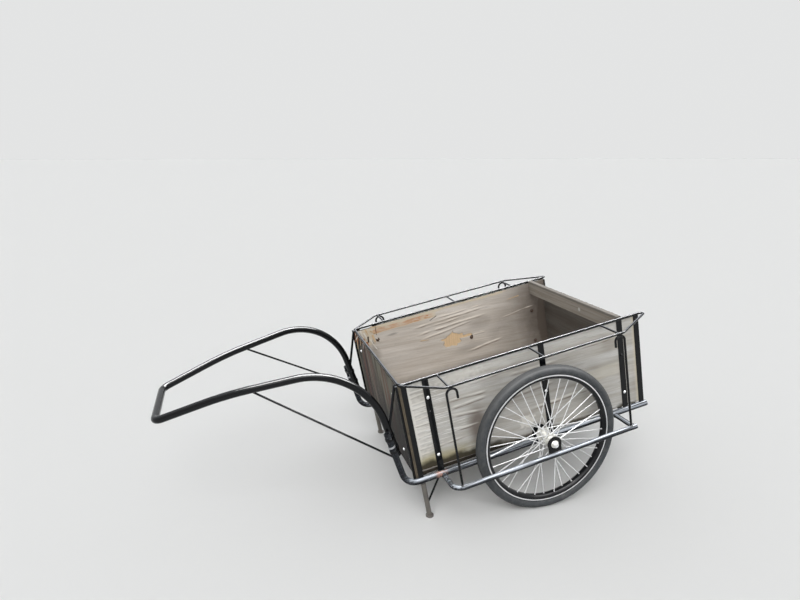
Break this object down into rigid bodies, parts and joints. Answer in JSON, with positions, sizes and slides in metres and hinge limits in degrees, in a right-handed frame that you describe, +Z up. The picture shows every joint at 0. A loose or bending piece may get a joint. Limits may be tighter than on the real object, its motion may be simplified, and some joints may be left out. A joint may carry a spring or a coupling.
{
  "type": "two-wheeled hand cart",
  "caption": "Pulled hand cart with a bent steel-tube frame, a plywood box between two big wire-spoked wheels, a looped pull handle and two front stand legs.",
  "frame": {"origin": "on the ground under the middle of the parked cart, halfway between the wheels", "axes": "+X towards the pull handle, +Y to the cart's left, +Z up; the cart is parked nose down on its stand legs, so its bed slopes by 11 degrees"},
  "size_m": [2.1708, 1.125, 0.8395],
  "materials": {
    "frame_paint": "worn gloss black paint with rust at the welds",
    "worn_frame": "black paint worn to blue-grey, with rust",
    "zinc": "dull zinc plate",
    "rim_paint": "black enamel with a bright worn lip",
    "tyre_rubber": "dusty rubber",
    "side_plywood": "weathered bare plywood",
    "floor_plywood": "weathered bare plywood, dirty",
    "front_plywood": "weathered dark plywood",
    "plank_wood": "weathered grey softwood"
  },
  "bodies": {
    "cart": {"axle_brackets": "frame_paint", "axle_nuts": "zinc", "axles": "zinc", "chassis_tube_left": "worn_frame", "chassis_tube_right": "worn_frame", "clamp_bands": "frame_paint", "corner_posts": "frame_paint", "cross_bearers": "worn_frame", "cross_plank": "plank_wood", "floor_panel": "floor_plywood", "foot_pads": "zinc", "front_board": "front_plywood", "front_posts": "frame_paint", "front_rods": "frame_paint", "front_stays": "frame_paint", "guard_stubs": "frame_paint", "guard_tube_left": "frame_paint", "guard_tube_right": "frame_paint", "hook_rods_left": "frame_paint", "hook_rods_right": "frame_paint", "leg_braces": "frame_paint", "outer_rod_left": "frame_paint", "outer_rod_right": "frame_paint", "rim_rod": "frame_paint", "rim_struts": "frame_paint", "shaft_braces": "frame_paint", "shaft_loop": "frame_paint", "side_board_left": "side_plywood", "side_board_right": "side_plywood", "side_posts_left": "frame_paint", "side_posts_right": "frame_paint", "stand_legs": "worn_frame", "tail_board": "floor_plywood"},
    "wheel_left": {"tyre_left": "tyre_rubber", "wheel_rim_left": "rim_paint", "wheel_hub_left": "zinc", "wheel_spokes_left": "zinc"},
    "wheel_right": {"tyre_right": "tyre_rubber", "wheel_rim_right": "rim_paint", "wheel_hub_right": "zinc", "wheel_spokes_right": "zinc"}
  },
  "joints": [
    {"name": "wheel_left_spin", "type": "hinge", "parent": "cart", "child": "wheel_left", "pos_m": [-0.52449, 0.48, 0.33], "axis": [0, 1, 0], "continuous": true},
    {"name": "wheel_right_spin", "type": "hinge", "parent": "cart", "child": "wheel_right", "pos_m": [-0.52449, -0.48, 0.33], "axis": [0, 1, 0], "continuous": true}
  ]
}
